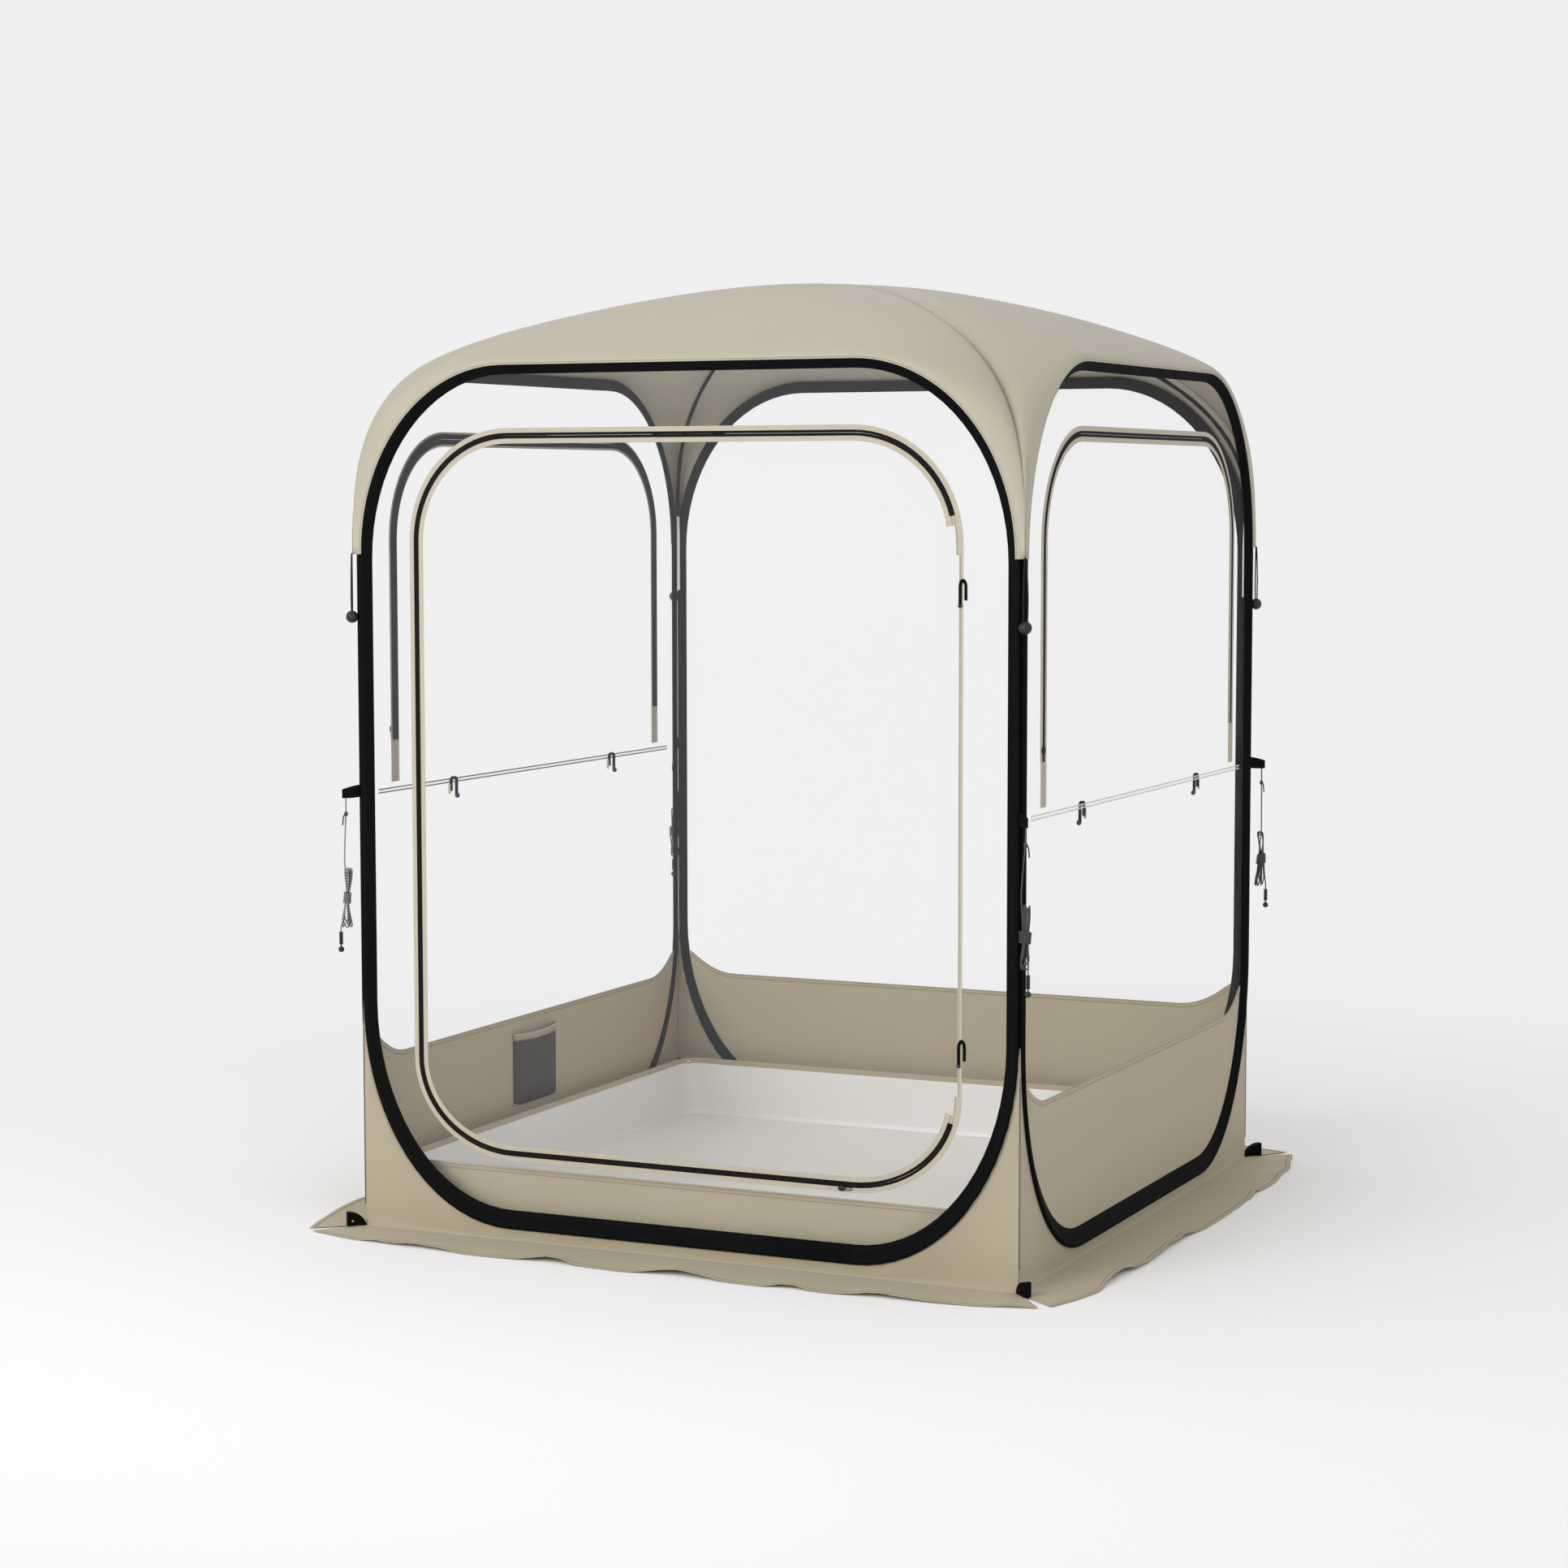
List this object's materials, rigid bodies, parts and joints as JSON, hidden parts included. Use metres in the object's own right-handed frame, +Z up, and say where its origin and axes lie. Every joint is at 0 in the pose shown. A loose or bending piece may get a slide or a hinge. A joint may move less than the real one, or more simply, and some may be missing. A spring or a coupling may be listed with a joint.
{
  "type": "bubble tent",
  "caption": "Square pop-up bubble tent: sprung hoops with clear film walls, a zipped door and windows, a fabric canopy on crossed poles, a tub floor and a ground skirt.",
  "frame": {"origin": "on the ground at the tent's centre", "axes": "+Z up, +X right along the front, the door faces -Y"},
  "size_m": [1.844, 1.844, 2.071],
  "materials": {
    "black_webbing": "woven, matt",
    "spring_steel": "sprung wire, satin",
    "wall_fabric": "plain woven coated polyester, matt",
    "canopy_fabric": "plain woven coated polyester, matt",
    "clear_film": "clear glossy PVC film",
    "black_plastic": "moulded, satin",
    "guy_cord": "braided cord with pale tracer",
    "pole_glassfibre": "white glassfibre rod, satin",
    "zip_tape": "woven zip tape with black coil",
    "clear_strap": "pale clear strap",
    "slider_metal": "black lacquer",
    "floor_coating": "glossy silver-grey coated floor",
    "pocket_mesh": "dark mesh with beige border"
  },
  "bodies": {
    "tent": {"hoop_sleeve_front": "black_webbing", "hoop_rod_front": "spring_steel", "ground_wall_front": "wall_fabric", "film_front": "clear_film", "hoop_sleeve_right": "black_webbing", "hoop_rod_right": "spring_steel", "ground_wall_right": "wall_fabric", "film_right": "clear_film", "lower_wall_right": "wall_fabric", "hoop_sleeve_back": "black_webbing", "hoop_rod_back": "spring_steel", "ground_wall_back": "wall_fabric", "film_back": "clear_film", "lower_wall_back": "wall_fabric", "hoop_sleeve_left": "black_webbing", "hoop_rod_left": "spring_steel", "ground_wall_left": "wall_fabric", "film_left": "clear_film", "lower_wall_left": "wall_fabric", "stake_loop_front_right": "black_webbing", "guy_cord_front_right": "guy_cord", "guy_hank_front_right": "guy_cord", "guy_runner_front_right": "black_plastic", "stake_loop_back_right": "black_webbing", "guy_cord_back_right": "guy_cord", "guy_hank_back_right": "guy_cord", "guy_runner_back_right": "black_plastic", "stake_loop_back_left": "black_webbing", "guy_cord_back_left": "guy_cord", "guy_hank_back_left": "guy_cord", "guy_runner_back_left": "black_plastic", "stake_loop_front_left": "black_webbing", "guy_cord_front_left": "guy_cord", "guy_hank_front_left": "guy_cord", "guy_runner_front_left": "black_plastic", "roof_pole_over": "pole_glassfibre", "roof_pole_under": "pole_glassfibre", "zip_door": "zip_tape", "door_tie_upper": "black_webbing", "door_tie_lower": "black_webbing", "zip_right": "zip_tape", "flap_strap_right": "clear_strap", "zip_left": "zip_tape", "flap_strap_left": "clear_strap", "pocket": "pocket_mesh"},
    "door": {"door_panel": "clear_film"},
    "window_right": {"window_flap_right": "clear_film"},
    "window_left": {"window_flap_left": "clear_film"},
    "canopy_cover": {"canopy": "canopy_fabric", "canopy_tie_front_right": "black_plastic", "canopy_tie_back_right": "black_plastic", "canopy_tie_back_left": "black_plastic", "canopy_tie_front_left": "black_plastic"},
    "floor": {"floor_tub": "floor_coating"},
    "slider_door": {"zip_slider_door": "slider_metal"},
    "slider_right": {"zip_slider_right": "slider_metal"},
    "slider_left": {"zip_slider_left": "slider_metal"}
  },
  "joints": [
    {"name": "door_swing", "type": "hinge", "parent": "tent", "child": "door", "pos_m": [0.6224, -0.7608, 0.9575], "axis": [0, 0, 1], "range_deg": [0, 120]},
    {"name": "window_right_fold", "type": "hinge", "parent": "tent", "child": "window_right", "pos_m": [0.7608, 0, 0.9624], "axis": [0, 1, 0], "range_deg": [0, 150]},
    {"name": "window_left_fold", "type": "hinge", "parent": "tent", "child": "window_left", "pos_m": [-0.7608, 0, 0.9624], "axis": [0, -1, 0], "range_deg": [0, 150]},
    {"name": "canopy_lift", "type": "slide", "parent": "tent", "child": "canopy_cover", "axis": [0, 0, 1], "range_m": [0, 0.75]},
    {"name": "floor_lift", "type": "slide", "parent": "tent", "child": "floor", "axis": [0, 0, 1], "range_m": [0, 0.15]},
    {"name": "door_zip_run", "type": "slide", "parent": "tent", "child": "slider_door", "axis": [1, 0, 0], "range_m": [-0.8, 0]},
    {"name": "right_zip_run", "type": "slide", "parent": "tent", "child": "slider_right", "axis": [0, 0, 1], "range_m": [-0.07, 0.4]},
    {"name": "left_zip_run", "type": "slide", "parent": "tent", "child": "slider_left", "axis": [0, 0, 1], "range_m": [-0.07, 0.4]}
  ]
}
